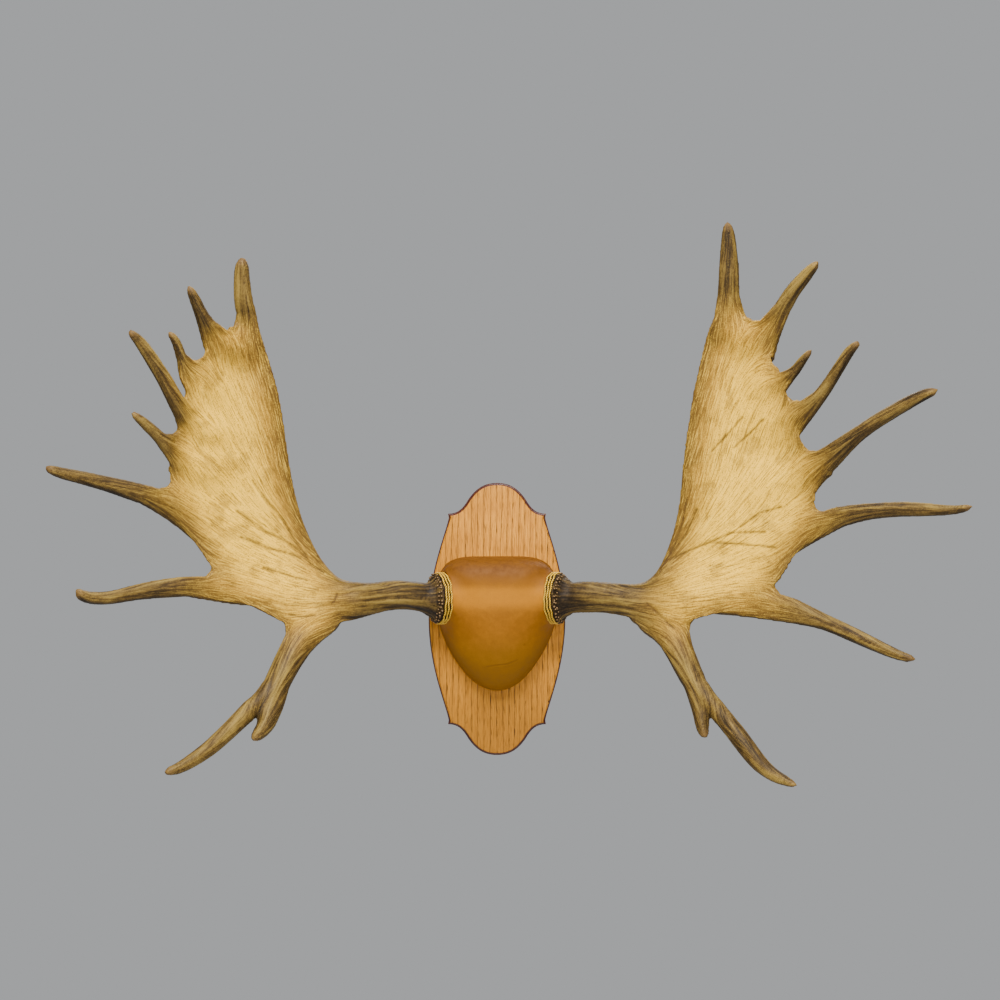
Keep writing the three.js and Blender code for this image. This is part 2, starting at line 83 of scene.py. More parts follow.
camera_data = bpy.data.cameras.new("camera")
camera_data.lens = FOCAL_SHARE * camera_data.sensor_width
camera = linked("camera", camera_data)
camera.location = CAMERA_PLACE
camera.rotation_euler = (math.pi / 2, 0, 0)
bpy.context.scene.camera = camera
print("camera lens, mm:", round(camera_data.lens, 1))

# %% [markdown]
# ## Small helpers
#
# A piece is a mesh object that sits at the origin with its place in its vertices. Most
# pieces are made in a bmesh, and finished with a modifier that is applied at once.

# %% Pieces from meshes
def place(name, mesh, replaced, material):
    """Makes the piece, and says what it rides on, stands for and takes its finish from."""
    piece = linked(name, mesh)
    mesh.materials.append(material)
    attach(piece, "root")
    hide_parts(*replaced)
    print(name, len(mesh.polygons), "faces")


def added(bm, make):
    """Runs a making step, and gives the vertices that it added."""
    before = set(bm.verts)
    make()
    return [vert for vert in bm.verts if vert not in before]


def finished(bm, name):
    """The mesh of a bmesh, with smooth faces that point outwards."""
    bmesh.ops.recalc_face_normals(bm, faces=bm.faces)
    mesh = bpy.data.meshes.new(name)
    bm.to_mesh(mesh)
    bm.free()
    mesh.shade_smooth()
    return mesh


def modified(mesh, kind, **settings):
    """The mesh after one modifier."""
    holder = linked("holder", mesh)
    modifier = holder.modifiers.new(kind, kind)
    for key, value in settings.items():
        setattr(modifier, key, value)
    depsgraph = bpy.context.evaluated_depsgraph_get()
    result = bpy.data.meshes.new_from_object(holder.evaluated_get(depsgraph))
    bpy.data.objects.remove(holder)
    return result


def remeshed(mesh, voxel):
    return modified(mesh, "REMESH", mode="VOXEL", voxel_size=voxel)


def positions(mesh, key="co"):
    """Vertex positions as an array of rows."""
    flat = np.empty(len(mesh.vertices) * 3, np.float32)
    mesh.vertices.foreach_get(key, flat)
    return flat.reshape(-1, 3).astype(float)


def normals(mesh):
    return positions(mesh, "normal")


def move_to(mesh, points):
    mesh.vertices.foreach_set("co", points.astype(np.float32).ravel())
    mesh.update()


def set_attributes(mesh, **named):
    """Stores one number, or one direction, for each vertex under each name."""
    for name, values in named.items():
        kind, key = ("FLOAT", "value") if values.ndim == 1 else ("FLOAT_VECTOR", "vector")
        made = mesh.attributes.new(name, kind, "POINT")
        made.data.foreach_set(key, values.astype(np.float32).ravel())


# %% Sums on arrays of rows
def smoothstep(low, high, values):
    t = np.clip((values - low) / (high - low), 0, 1)
    return t * t * (3 - 2 * t)


def bell(distance, width):
    """1 at no distance, fading to 0 over about twice this width."""
    return np.exp(-(distance / width) ** 2)


def dot(first, second):
    return (first * second).sum(axis=1)


def lengths(rows):
    return np.linalg.norm(rows, axis=1)


def units(rows):
    """The rows, each brought to length 1."""
    return rows / np.maximum(lengths(rows), 1e-12)[:, None]


def turn_to(axis):
    """The turn that brings upright to this axis."""
    return Vector((0, 0, 1)).rotation_difference(Vector(axis)).to_matrix().to_4x4()


# %% [markdown]
# ## Materials in nodes
#
# One function adds a node. Its inputs are numbers, or the outputs of other nodes.
# Colours are written as sRGB hex, as a painter's chart gives them, and turned linear.

# %% Nodes and colours
def linear(hex_colour):
    """An sRGB hex colour as linear red, green, blue and alpha."""
    channels = [int(hex_colour[i:i + 2], 16) / 255 for i in (1, 3, 5)]
    return [c / 12.92 if c <= 0.04045 else ((c + 0.055) / 1.055) ** 2.4 for c in channels] + [1]


def set_inputs(tree, made, inputs):
    """Sets inputs to numbers or colours, or links them to the outputs of other nodes."""
    for key, value in inputs.items():
        if isinstance(value, bpy.types.NodeSocket):
            tree.links.new(value, made.inputs[key])
        else:
            made.inputs[key].default_value = linear(value) if isinstance(value, str) else value


def node(tree, kind, inputs=None, **settings):
    """Adds a node, sets its properties, and sets or links its inputs."""
    made = tree.nodes.new("ShaderNode" + kind)
    for key, value in settings.items():
        setattr(made, key, value)
    set_inputs(tree, made, inputs or {})
    return made


def new_material(name):
    """A material, its node tree, and the place on the object in metres."""
    material = bpy.data.materials.new(name)
    material.use_nodes = True
    tree = material.node_tree
    return material, tree, node(tree, "TexCoord").outputs["Object"]


def surfaced(material, colour, roughness, relief=None, specular=0.5, metallic=0.0):
    """The material with its surface set. Relief is a height, a strength and a depth."""
    tree = material.node_tree
    inputs = {"Base Color": colour, "Roughness": roughness, "Specular IOR Level": specular,
              "Metallic": metallic}
    if relief:
        bump = dict(zip(("Height", "Strength", "Distance"), relief))
        inputs["Normal"] = node(tree, "Bump", bump).outputs["Normal"]
    set_inputs(tree, tree.nodes["Principled BSDF"], inputs)
    return material


def ramp(tree, factor, stops):
    """A colour ramp from pairs of a place and a hex colour."""
    made = node(tree, "ValToRGB", {"Fac": factor})
    elements = made.color_ramp.elements
    while len(elements) < len(stops):
        elements.new(1)
    for element, (at, colour) in zip(elements, stops):
        element.position = at
        element.color = linear(colour)
    return made.outputs["Color"]


def blend(tree, factor, first, second):
    """First where the factor is 0, second where it is 1."""
    return node(tree, "Mix", {0: factor, 6: first, 7: second}, data_type="RGBA").outputs[2]


def layered(tree, colour, layers):
    """The colour with others laid over it, each through a mask and with its own share."""
    for mask, share, over in layers:
        colour = blend(tree, maths(tree, "MULTIPLY", mask, share), colour, over)
    return colour


def between(tree, value, low, high, to_low=0.0, to_high=1.0):
    """Maps low..high smoothly to to_low..to_high."""
    made = node(tree, "MapRange", {
        "Value": value, "From Min": low, "From Max": high, "To Min": to_low, "To Max": to_high,
    }, interpolation_type="SMOOTHSTEP")
    return made.outputs["Result"]


def maths(tree, how, *values):
    made = node(tree, "Math", dict(enumerate(values)), operation=how)
    return made.outputs[0]


def attribute(tree, name, output="Fac"):
    return node(tree, "Attribute", attribute_name=name).outputs[output]


def texture(tree, kind, at, size_mm, inputs=None, **settings):
    """A texture whose patches are about this wide, on coordinates in metres."""
    scaled = {"Vector": at, "Scale": 1 / (size_mm * MM), **(inputs or {})}
    return node(tree, "Tex" + kind, scaled, **settings)


def noise(tree, at, size_mm, detail=2.0):
    return texture(tree, "Noise", at, size_mm, {"Detail": detail}).outputs["Fac"]


def drawn_out(tree, at, size_mm, share, detail=2.0):
    """Noise that is drawn out upwards, so that its height is its width over this share."""
    drawn = node(tree, "Mapping", {"Vector": at, "Scale": (1, 1, share)})
    return noise(tree, drawn.outputs[0], size_mm, detail)


# %% [markdown]
# ## The antlers: shape
#
# A moose sheds and regrows its antlers every year, and each one is a single piece of
# bone: a round beam that spreads into a palm with tines along its rim, and a brow branch
# that forks low down. The frame holds it cut at its forks, in flat facets.
#
# It could be sculpted by hand or swept again from curves. Here it is grown from the
# frame's own solids, so that it can't drift from them. Each solid is rounded by
# subdivision that still passes through its corners. Small balls fill the corners between
# the tines to round valleys. Then all are joined in one voxel mesh, and the joint is
# smoothed like a file over a weld.

# %% Round off a solid's facets
SHARP_EDGE = math.radians(55)
FLAT_ENOUGH, SQUARE_ENOUGH = math.radians(35), math.radians(80)
ROUNDING_LEVELS = 2
CORNER_PASSES = 2
CORNER_REACH = 5 * MM


def subdivided(mesh):
    return modified(mesh, "SUBSURF", levels=ROUNDING_LEVELS, render_levels=ROUNDING_LEVELS)


def rounded(node_name):
    """A copy of a frame solid with its facets rounded, and its cut faces still flat."""
    bm = bmesh.new()
    bm.from_mesh(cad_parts[node_name].data)
    bmesh.ops.remove_doubles(bm, verts=bm.verts, dist=0.01 * MM)
    bmesh.ops.join_triangles(bm, faces=bm.faces, angle_face_threshold=FLAT_ENOUGH,
                             angle_shape_threshold=SQUARE_ENOUGH)
    crease = bm.edges.layers.float.new("crease_edge")
    for edge in bm.edges:
        if edge.calc_face_angle(0) > SHARP_EDGE:
            edge[crease] = 1
    base = bpy.data.meshes.new(node_name)
    bm.to_mesh(base)
    bm.free()
    corners = positions(base)
    control = corners.copy()
    for _ in range(CORNER_PASSES):
        move_to(base, control)
        reached = positions(subdivided(base))[:len(corners)]
        control += np.clip(corners - reached, -CORNER_REACH, CORNER_REACH)
    move_to(base, control)
    return subdivided(base)


# %% Maps of depth over x and z
MAP_CELL = 2.5 * MM
MAP_MARGIN = 40 * MM


class DepthMap:
    """A square grid over x and z that holds how far forward the mesh's two sides are."""

    def __init__(self, points):
        self.low = points[:, [0, 2]].min(axis=0) - MAP_MARGIN
        high = points[:, [0, 2]].max(axis=0) + MAP_MARGIN
        self.shape = tuple(((high - self.low) / MAP_CELL).astype(int) + 2)
        at = tuple(np.rint((points[:, [0, 2]] - self.low) / MAP_CELL).astype(int).T)
        self.front = np.full(self.shape, np.inf)
        self.back = np.full(self.shape, -np.inf)
        np.minimum.at(self.front, at, points[:, 1])
        np.maximum.at(self.back, at, points[:, 1])
        self.known = np.isfinite(self.front)
        self.front = self.average(self.front, self.known, MAP_CELL)
        self.back = self.average(self.back, self.known, MAP_CELL)

    def away(self):
        """Each cell's squared distance from the corner cell, the short way round the map."""
        steps = [np.fft.fftfreq(n) * n * MAP_CELL for n in self.shape]
        x, z = np.meshgrid(*steps, indexing="ij")
        return x * x + z * z

    def convolved(self, values, kernel):
        return np.fft.irfft2(np.fft.rfft2(values) * np.fft.rfft2(kernel), self.shape)

    def spread(self, mask, radius):
        """The cells that lie within this distance of the mask."""
        disc = self.away() <= (1.001 * radius) ** 2
        return self.convolved(mask.astype(float), disc.astype(float)) > 0.5

    def shrunk(self, mask, radius):
        return ~self.spread(~mask, radius)

    def closed(self, mask, radius):
        """The mask with the gaps filled that a disc of this radius can't enter."""
        return self.shrunk(self.spread(mask, radius), radius)

    def average(self, values, known, width):
        """A smooth average of the values that are known."""
        near = np.exp(-self.away() / (2 * width * width))
        weight = np.maximum(self.convolved(known.astype(float), near), 1e-6)
        return self.convolved(np.where(known, values, 0).astype(float), near) / weight

    def read(self, values, points):
        """The map's values at points, blended between cells."""
        scaled = (points[:, [0, 2]] - self.low) / MAP_CELL
        cell = np.floor(scaled).astype(int)
        part = scaled - cell
        total = 0
        for corner in product((0, 1), repeat=2):
            share = np.prod(np.where(corner, part, 1 - part), axis=1)
            total = total + share * values[tuple((cell + corner).T)]
        return total


# %% Join the solids of one antler
CUT_GAP = 0.35 * MM
FIRST_VOXEL = 2.6 * MM
VOXEL = 2.1 * MM
VALLEY_RADIUS = 9 * MM
PALM_RADIUS, PALM_REACH = 16 * MM, 13 * MM  # only the palm's own edge has such valleys
VALLEY_EDGE = 4.8 * MM
VALLEY_FULLNESS = 0.8
VALLEYS_ABOVE = -60 * MM
# One gap, between the left antler's long and short tine, is a narrow slit and stays open.
SLIT = [(-447, 396), (-418, 312)]
SLIT_CLEARANCE = 15 * MM


def copies(ball, places):
    """One mesh that holds the ball's shape at each of these places."""
    ball.verts.index_update()
    corners = [vert.co.copy() for vert in ball.verts]
    faces = [[vert.index for vert in face.verts] for face in ball.faces]
    ball.free()
    mesh = bpy.data.meshes.new("copies")
    mesh.from_pydata(
        [at @ corner for at in places for corner in corners], [],
        [[i + n * len(corners) for i in face] for n in range(len(places)) for face in faces],
    )
    return mesh


def valley_balls(mesh):
    """Balls that fill the corners between tines, to a round valley in the palm's plane."""
    depth = DepthMap(positions(mesh))
    covered = depth.closed(depth.known, 1.5 * MAP_CELL)
    palm = depth.spread(depth.shrunk(covered, PALM_RADIUS), PALM_RADIUS + PALM_REACH)
    valleys = covered | (depth.closed(covered, VALLEY_RADIUS) & palm)
    room = depth.shrunk(valleys, VALLEY_EDGE) & ~depth.shrunk(covered, VALLEY_EDGE)
    middle = depth.average((depth.front + depth.back) / 2, covered, 3 * MAP_CELL)
    half = depth.average((depth.back - depth.front) / 2, covered, 3 * MAP_CELL)
    places = []
    for cell in map(tuple, np.argwhere(room)):
        x, z = np.array(cell) * MAP_CELL + depth.low
        from_slit = distance_to_line(np.array([[x, 0, z]]), SLIT)[0]
        if z > VALLEYS_ABOVE and from_slit > SLIT_CLEARANCE:
            reach = max(VALLEY_EDGE, VALLEY_FULLNESS * half[cell])
            size = Matrix.Diagonal((VALLEY_EDGE, reach, VALLEY_EDGE, 1))
            places.append(Matrix.Translation((x, middle[cell], z)) @ size)
    ball = bmesh.new()
    bmesh.ops.create_icosphere(ball, subdivisions=2, radius=1)
    return copies(ball, places)


def joined(node_names):
    """One closed mesh over all the solids, each swollen enough to close the cuts."""
    together = bmesh.new()
    for name in node_names:
        part = rounded(name)
        move_to(part, positions(part) + CUT_GAP * normals(part))
        together.from_mesh(part)
    mesh = bpy.data.meshes.new("antler")
    together.to_mesh(mesh)
    together.from_mesh(valley_balls(remeshed(mesh, FIRST_VOXEL)))
    together.to_mesh(mesh)
    together.free()
    return remeshed(mesh, VOXEL)


# %% Smooth without shrinking
class Links:
    """Which vertex touches which, and averages over those neighbours."""

    def __init__(self, mesh):
        pairs = np.empty(len(mesh.edges) * 2, np.int32)
        mesh.edges.foreach_get("vertices", pairs)
        pairs = pairs.reshape(-1, 2)
        self.here = np.concatenate([pairs[:, 0], pairs[:, 1]])
        self.there = np.concatenate([pairs[:, 1], pairs[:, 0]])
        self.count = len(mesh.vertices)
        self.degree = np.maximum(np.bincount(self.here, minlength=self.count), 1)

    def total(self, per_link):
        """Sums a value on each link at the vertex where the link starts."""
        if per_link.ndim == 1:
            return np.bincount(self.here, weights=per_link, minlength=self.count)
        return np.stack([self.total(column) for column in per_link.T], axis=1)

    def mean(self, values):
        sums = self.total(values[self.there])
        return sums / (self.degree if values.ndim == 1 else self.degree[:, None])


SHRINK, GROW = 0.5, -0.53


def smoothed(points, links, passes):
    """Evens out bumps: each pass shrinks the mesh a little and grows it back."""
    points = points.copy()
    for _ in range(passes):
        for step in (SHRINK, GROW):
            points += step * (links.mean(points) - points)
    return points


def filled(mesh, points, links, passes):
    """Fills hollow corners, as growing bone does at its forks. Bulges stay as they are."""
    for i in range(passes):
        if i % 10 == 0:
            move_to(mesh, points)
            outward = normals(mesh)
        rise = dot(links.mean(points) - points, outward)
        points = points + SHRINK * np.maximum(rise, 0)[:, None] * outward
    move_to(mesh, points)
    return points


# %% Even out the palm's faces
FILL_PASSES = 110
FACE_EVENNESS = 11 * MM
# The rim and middle measures carry painted shade on the palm's rim and a painted highlight on its
# middle.
RIM_WIDTH, HEART_WIDTH = 19 * MM, 38 * MM
RIM_SHARES, HEART_SHARES = (0.55, 0.98), (0.68, 0.96)  # of a place's surroundings
THIN_RIM, FULL_RIM = 5 * MM, 11 * MM


def evened(points, share):
    """Evens out the palm's two faces, front to back only, so that its outline stays.

    It also gives how far inside the outline each place lies, from 0 at the rim to 1, and
    the same for the palm's heart, which is far from every rim.
    """
    depth = DepthMap(points)
    front, back = depth.read(depth.front, points), depth.read(depth.back, points)
    forward = points[:, 1] < (front + back) / 2
    even = [
        depth.read(depth.average(side, depth.known, FACE_EVENNESS), points)
        for side in (depth.front, depth.back)
    ]
    target = np.where(forward, even[0], even[1])
    weight = share * smoothstep(THIN_RIM, FULL_RIM, back - front)
    y = points[:, 1] + weight * (target - points[:, 1])
    everywhere = np.ones(depth.shape, bool)
    near, far = [
        depth.read(depth.average(depth.known, everywhere, width), points)
        for width in (RIM_WIDTH, HEART_WIDTH)
    ]
    points = np.column_stack([points[:, 0], y, points[:, 2]])
    return points, smoothstep(*RIM_SHARES, near), smoothstep(*HEART_SHARES, far)


# %% [markdown]
# ## The antlers: growth lines
#
# Antler bone grows from the burr to the tips, and everything on its surface follows that
# flow: the ridges and grooves left by blood vessels on the beam, the fine fan of lines
# on the palm, and the streaks along the tines. A noise texture alone knows nothing of
# the flow, so it is worked out once for each vertex. The flow is like a current that
# enters at the burr and leaves at the tips. Its potential is 0 at the burr and the same
# at every tip, so that it rises all the way up each tine, and between them it is as even
# as it can be. Its slope is the growth direction. Random noise averaged along that
# direction becomes grain.

# %% Where growth starts and ends
BURR_TILT = math.radians(22)
SIDES = {"left": -1, "right": 1}
PIECES_OF_ANTLER = (
    ["beam_and_palm", "brow_branch", "brow_prong_long", "brow_prong_short"]
    + [f"tine_{i}" for i in range(1, 8)]
)


def burr_of(side):
    """The middle of the braid band, and the direction in which the beam leaves it."""
    low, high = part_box(f"{side}_braid")
    axis = np.array([SIDES[side] * math.cos(BURR_TILT), -math.sin(BURR_TILT), 0])
    return np.array((low + high) / 2), axis


def tips_of(side, burr):
    """Each tine's tip, and the tine's length."""
    tips = []
    for kind in PIECES_OF_ANTLER:
        if "tine" in kind or "prong" in kind:
            corners = positions(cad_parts[f"{side}_{kind}"].data)
            tip = corners[lengths(corners - burr).argmax()]
            tips.append((tip, lengths(corners - tip).max()))
    return tips


# %% The potential and its slope
BURR_BAND = 14 * MM
TIP_REACH = 5 * MM
SOLVER_STEPS = 500
SOLVED = 1e-10
SLOPE_PASSES = 12


def growth_potential(points, links, burr, axis, tips):
    """Rising values from the burr to the tips, by the conjugate gradient method."""
    away = points - burr
    potential = lengths(away)
    highest = potential.max()
    at_burr = away @ axis < BURR_BAND
    fixed = at_burr.copy()
    for tip, _ in tips:
        near = lengths(points - tip) < TIP_REACH
        potential[near] = highest
        fixed |= near
    potential[at_burr] = 0
    free = (~fixed).astype(float)
    uneven = free * (links.degree * (links.mean(potential) - potential))
    direction = uneven.copy()
    strength = uneven @ uneven
    enough = SOLVED * strength
    for _ in range(SOLVER_STEPS):
        if strength < enough:
            break
        spread = free * (links.degree * (direction - links.mean(direction)))
        step = strength / (direction @ spread)
        potential += step * direction
        uneven -= step * spread
        weaker = uneven @ uneven
        direction = uneven + weaker / strength * direction
        strength = weaker
    return potential


def growth_direction(points, links, outward, potential):
    """The potential's slope in the surface, as a direction of length 1."""
    step = points[links.there] - points[links.here]
    rise = potential[links.there] - potential[links.here]
    slope = links.total(step * (rise / dot(step, step))[:, None])
    for _ in range(SLOPE_PASSES):
        slope = links.mean(slope)
    return units(slope - outward * dot(slope, outward)[:, None])


# %% Grain along the growth
PRIMES = (73856093, 19349663, 83492791)
FIELD_CELL = 4 * MM


def value_noise(points, cell, seed):
    """Random values from -1 to 1, one for each box of this size, blended smoothly."""
    scaled = points / cell + 1000
    box = np.floor(scaled).astype(np.int64)
    part = scaled - box
    part = part * part * (3 - 2 * part)
    total = np.zeros(len(points))
    for corner in product((0, 1), repeat=3):
        key = sum((box[:, i] + corner[i]) * PRIMES[i] for i in range(3)) + seed * 7919
        key = (key ^ (key >> 13)) * 1274126177 & 0x7FFFFFFF
        key = (key ^ (key >> 15)) * 668265263 & 0x7FFFFFFF
        share = np.prod(np.where(corner, part, 1 - part), axis=1)
        total += share * (key / 0x3FFFFFFF - 1)
    return total


class GrowthField:
    """The growth direction at any place near the surface, looked up in small boxes."""

    def __init__(self, points, direction):
        self.low = points.min(axis=0) - 2 * FIELD_CELL
        self.shape = np.ceil((points.max(axis=0) - self.low) / FIELD_CELL).astype(int) + 3
        cells = self.cells(points)
        size = int(np.prod(self.shape))
        sums = [np.bincount(cells, weights=column, minlength=size) for column in direction.T]
        self.table = units(np.stack(sums, axis=1))
        self.known = lengths(self.table) > 0

    def cells(self, points):
        index = np.clip(((points - self.low) / FIELD_CELL).astype(int), 0, self.shape - 1)
        return np.ravel_multi_index(index.T, self.shape)

    def streaks(self, points, direction, width, length, seed):
        """Noise of this width averaged over this length of growth, with spread 1."""
        steps = max(int(length / width / 2), 1)
        total = value_noise(points, width, seed)
        for way in (width, -width):
            place_now, heading = points, direction
            for _ in range(steps):
                place_now = place_now + way * heading
                cells = self.cells(place_now)
                heading = np.where(self.known[cells][:, None], self.table[cells], heading)
                total = total + value_noise(place_now, width, seed)
        total -= total.mean()
        return total / total.std()


# %% [markdown]
# ## The antlers: marks
#
# The marks that make it this pair: blood vessels left a few long grooves on each palm,
# the beams are stained nearly black in their grooves next to the burr, the tines are
# browner than the palms, and their tips are rubbed. The grooves are drawn as short
# lines of x and z on the front. Round the burr's rim sit two rows of small bony knobs,
# called pearls, with dark gaps between. They grew with the antler, so they are part of
# its mesh: each is a small stretched sphere, sunk into the flare.

# %% Grooves on the palms, x and z in millimetres
PALM_GROOVES = {
    "left": [
        [(-360, 162), (-325, 134), (-292, 117), (-277, 105), (-262, 86), (-245, 75)],
        [(-355, 126), (-320, 110), (-292, 102), (-277, 96)],
        [(-327, 83), (-291, 71), (-268, 64)],
        [(-226, 44), (-229, 36), (-233, 31)],
        [(-291, 17), (-275, 13), (-257, 15)],
        [(-340, 205), (-318, 172), (-300, 150), (-285, 120), (-268, 98)],
    ],
    "right": [
        [(218, 72), (240, 91), (268, 104), (300, 118), (330, 132), (372, 133)],
        [(226, 78), (250, 104), (268, 130), (282, 165)],
        [(222, 70), (238, 88), (252, 112), (262, 140), (268, 180)],
        [(300, 118), (340, 116), (385, 112)],
        [(340, 140), (365, 160), (392, 168)],
        [(300, 245), (322, 270), (340, 292)],
        [(330, 250), (352, 272), (366, 288)],
        [(212, 32), (232, 14), (250, -4)],
    ],
}
GROOVE_WIDTH = 1.8 * MM


def distance_to_line(points, line):
    """How far each point is from a line drawn in x and z."""
    flat = points[:, [0, 2]]
    nearest = np.full(len(points), np.inf)
    for start, end in zip(line, line[1:]):
        a, b = np.array(start) * MM, np.array(end) * MM
        along = np.clip((flat - a) @ (b - a) / ((b - a) @ (b - a)), 0, 1)
        nearest = np.minimum(nearest, lengths(flat - a - along[:, None] * (b - a)))
    return nearest


def groove_mask(points, outward, lines):
    """1 in the middle of each groove, fading to 0 beside it, on the front only."""
    nearest = np.minimum.reduce([distance_to_line(points, line) for line in lines])
    nearest = nearest + 0.9 * MM * abs(value_noise(points, 7 * MM, 31))
    wander = 1 + 0.4 * value_noise(points, 12 * MM, 33)
    return bell(nearest, GROOVE_WIDTH * wander) * smoothstep(0.1, 0.5, -outward[:, 1])


# %% How stained each place is
BEAM_STAIN = 240 * MM
TINE_STAIN = np.array([0.75, 1.45])  # full and none, in lengths of the tine from its tip
TIP_WEAR = (3 * MM, 16 * MM)
BROW_LOW, BROW_HIGH = -55 * MM, 15 * MM


def stains(points, burr, tips):
    """Beam, tine and tip shares, each from 0 to 1. The brow branch is stained as a tine."""
    beam = 1 - np.clip(lengths(points - burr) / BEAM_STAIN, 0, 1)
    tine = worn = np.zeros(len(points))
    for tip, length in tips:
        reach = lengths(points - tip)
        tine = np.maximum(tine, 1 - smoothstep(*(TINE_STAIN * length), reach))
        worn = np.maximum(worn, 1 - smoothstep(*TIP_WEAR, reach))
    brow = 1 - smoothstep(BROW_LOW, BROW_HIGH, points[:, 2])
    return beam, np.maximum(tine, brow), worn


# %% Pearls round the burr
BURR_FACE = 6.6 * MM  # from the braid's middle to the burr's flat face
PEARL_BAND = 14 * MM
PEARL_STRETCH = 1.2
PEARL_SEED = 7
PEARL_ROWS = [
    # distance from the burr's face, count, and radius, in millimetres
    (2.4, 40, 1.6),
    (5.2, 34, 1.3),
]


def add_pearls(mesh, side, random):
    """Adds small knobs to the antler's own mesh, half sunk in the burr's rim."""
    burr, axis = burr_of(side)
    points, outward = positions(mesh), normals(mesh)
    away = points - burr - axis * BURR_FACE
    along = away @ axis
    radial = units(away - along[:, None] * axis)
    on_flare = np.flatnonzero((along < PEARL_BAND) & (dot(outward, radial) > 0.2))
    level = np.cross(axis, (0, 0, 1))
    level /= np.linalg.norm(level)
    raised = np.cross(level, axis)
    ball = bmesh.new()
    bmesh.ops.create_uvsphere(ball, u_segments=8, v_segments=5, radius=1)
    places, crowns = [], []
    for row, count, radius in PEARL_ROWS:
        for i in range(count):
            turn = (i + random.uniform(-0.25, 0.25)) * 2 * math.pi / count
            heading = math.cos(turn) * level + math.sin(turn) * raised
            distance = (row + random.uniform(-0.6, 0.6)) * MM
            miss = abs(along[on_flare] - distance)
            miss += 30 * MM * lengths(radial[on_flare] - heading)
            seat = on_flare[miss.argmin()]
            grown = radius * random.uniform(0.75, 1.15) * MM
            centre = Vector(points[seat] + 0.2 * grown * outward[seat])
            size = Matrix.Diagonal((grown, grown, PEARL_STRETCH * grown, 1))
            at = Matrix.Translation(centre) @ turn_to(axis) @ size
            places.append(at)
            for vert in ball.verts:
                lift = (at @ vert.co - centre).dot(Vector(outward[seat])) / grown
                crowns.append(max(0.5 + 0.5 * lift, 0.1))
    pearls = copies(ball, places)
    set_attributes(pearls, crown=np.array(crowns))
    bm = bmesh.new()
    bm.from_mesh(mesh)
    bm.from_mesh(pearls)
    bm.to_mesh(mesh)
    bm.free()


# %% Grow one antler
SMOOTHING_PASSES = 90
RIDGE_WIDTH, RIDGE_LENGTH, RIDGE_SEED = 4.5 * MM, 110 * MM, 3
LINE_WIDTH, LINE_LENGTH, LINE_SEED = 2.1 * MM, 64 * MM, 5
LOBE_WIDTH, LOBE_SEED = 40 * MM, 11
# Heights in millimetres: everywhere, and what the beam and the tines add
RIDGE_HEIGHT = (0.10, 0.50, 0.16)
LINE_HEIGHT = (0.05, 0.14, 0.03)
LOBE_HEIGHT, GROOVE_DEPTH = 0.5, 0.6


def grow_antler(side, material):
    nodes = [f"{side}_{kind}" for kind in PIECES_OF_ANTLER]
    mesh = joined(nodes)
    links = Links(mesh)
    points = filled(mesh, positions(mesh), links, FILL_PASSES)
    burr, axis = burr_of(side)
    tips = tips_of(side, burr)
    potential = growth_potential(points, links, burr, axis, tips)
    beam, tine, worn = stains(points, burr, tips)
    points, inside, heart = evened(points, (1 - tine) * (1 - beam))
    points = smoothed(points, links, SMOOTHING_PASSES)
    move_to(mesh, points)
    outward = normals(mesh)
    direction = growth_direction(points, links, outward, potential)
    field = GrowthField(points, direction)
    ridge = field.streaks(points, direction, RIDGE_WIDTH, RIDGE_LENGTH, RIDGE_SEED)
    line = field.streaks(points, direction, LINE_WIDTH, LINE_LENGTH, LINE_SEED)
    groove = groove_mask(points, outward, PALM_GROOVES[side])
    lobes = value_noise(points, LOBE_WIDTH, LOBE_SEED)

    def height_of(everywhere, on_beam, on_tine):
        return everywhere + on_beam * beam + on_tine * tine

    height = (ridge * height_of(*RIDGE_HEIGHT) + line * height_of(*LINE_HEIGHT)
              + lobes * LOBE_HEIGHT * (1 - tine) - groove * GROOVE_DEPTH)
    move_to(mesh, points + outward * MM * height[:, None])
    set_attributes(
        mesh, ridge=ridge, line=line, beam=beam, tine=tine, worn=worn, inside=inside,
        # The mask of surfaces that face down carries painted shade.
        heart=heart, groove=groove, under=smoothstep(0.15, 0.85, -outward[:, 2]),
        growth=direction,
    )
    add_pearls(mesh, side, Random(PEARL_SEED))
    mesh.shade_smooth()
    place(f"{side}_antler", mesh, nodes, material)


# %% [markdown]
# ## The antlers: finish
#
# Dry antler bone, brushed clean. The palm is buff and waxy with fine dark hairlines, the
# beam is olive brown with black in its grooves, the tines are streaked brown, and the
# pearls round the burr are rubbed pale. Hairlines finer than the mesh come from noise
# that is averaged over a few steps along the growth direction, in the shader.

# %% Antler bone
HAIRLINE_MM = 1.4
HAIRLINE_TAPS = 4
HAIRLINE_STEP = 1.9 * MM


